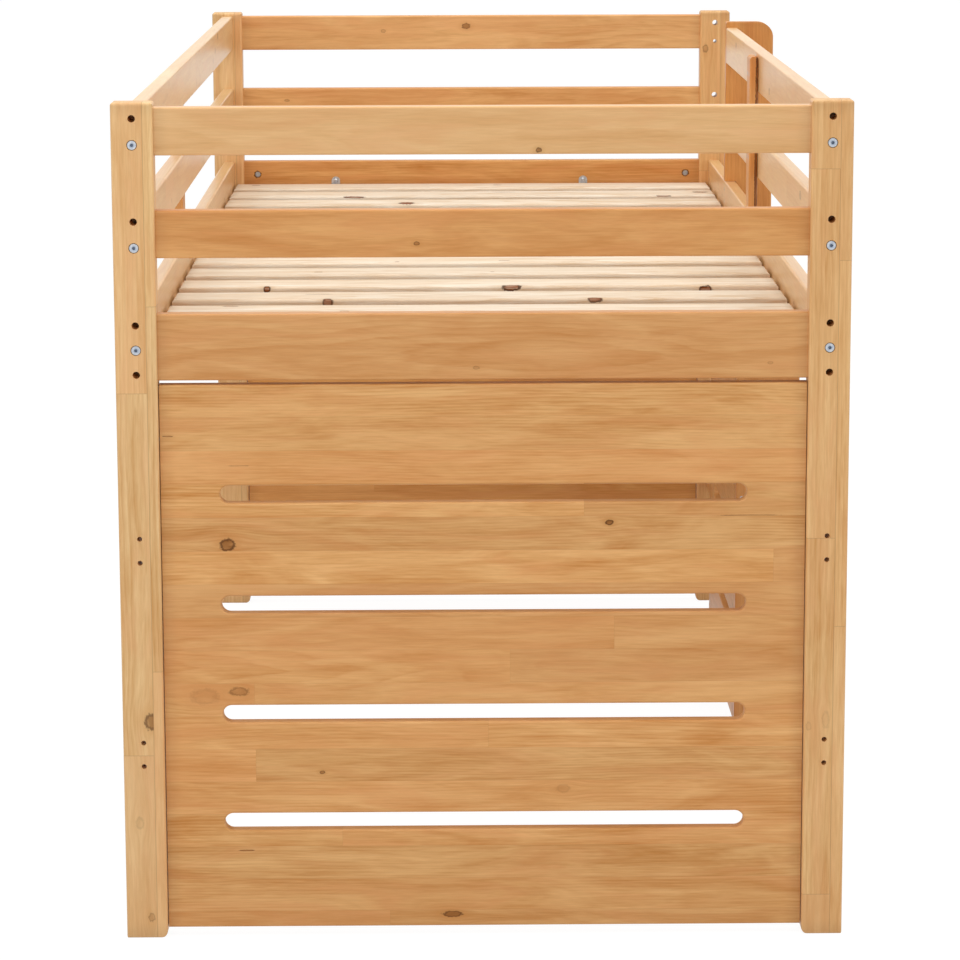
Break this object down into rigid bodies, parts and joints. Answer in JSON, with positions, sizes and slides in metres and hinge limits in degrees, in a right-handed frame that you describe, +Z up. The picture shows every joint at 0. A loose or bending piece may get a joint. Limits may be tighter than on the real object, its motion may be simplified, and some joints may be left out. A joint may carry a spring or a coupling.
{
  "type": "mid sleeper bed",
  "caption": "Pine mid sleeper bed frame: drilled posts, bolted guard rails, slotted panels, slatted base and a ladder built into the back right corner.",
  "frame": {"origin": "middle of the bounding box at floor level", "axes": "+X to the right across the bed, towards the ladder's side; +Y along the bed from the front end to the back end; +Z up"},
  "size_m": [1.028, 1.98, 1.151],
  "materials": {
    "stained_pine": "pine stained honey, satin lacquer",
    "raw_pine": "planed pine, unfinished",
    "zinc": "bright zinc plate",
    "beech": "fluted beech dowel, unfinished"
  },
  "bodies": {
    "root": {"post_front_left": "stained_pine", "post_front_right": "stained_pine", "post_back_left": "stained_pine", "post_back_right": "stained_pine", "front_top_rail": "stained_pine", "front_mid_rail": "stained_pine", "front_low_rail": "stained_pine", "back_top_rail": "stained_pine", "back_mid_rail": "stained_pine", "back_low_rail": "stained_pine", "front_panel": "stained_pine", "back_panel": "stained_pine", "side_panel": "stained_pine", "left_side_rail": "stained_pine", "right_side_rail": "stained_pine", "left_top_guard": "stained_pine", "left_mid_guard": "stained_pine", "right_top_guard": "stained_pine", "right_mid_guard": "stained_pine", "left_upright": "stained_pine", "right_upright": "stained_pine", "left_ledger": "stained_pine", "right_ledger": "stained_pine", "side_stile": "stained_pine", "ladder_stile": "stained_pine", "ladder_rung_low": "stained_pine", "ladder_rung_high": "stained_pine", "slat_01": "raw_pine", "slat_02": "raw_pine", "slat_03": "raw_pine", "slat_04": "raw_pine", "slat_05": "raw_pine", "slat_06": "raw_pine", "slat_07": "raw_pine", "slat_08": "raw_pine", "slat_09": "raw_pine", "slat_10": "raw_pine", "slat_11": "raw_pine", "slat_12": "raw_pine", "slat_13": "raw_pine", "slat_14": "raw_pine", "slat_15": "raw_pine", "rail_bolts_front": "zinc", "rail_bolts_back": "zinc", "ladder_bolts": "zinc", "rail_nuts": "zinc", "end_bolts_front": "zinc", "end_bolts_back": "zinc", "end_nuts_front": "zinc", "end_nuts_back": "zinc", "plates_back": "zinc", "plates_side": "zinc", "plate_screws": "zinc", "ledger_screws": "zinc", "upright_screws": "zinc", "ladder_screws": "zinc", "end_dowels": "beech"}
  },
  "joints": []
}
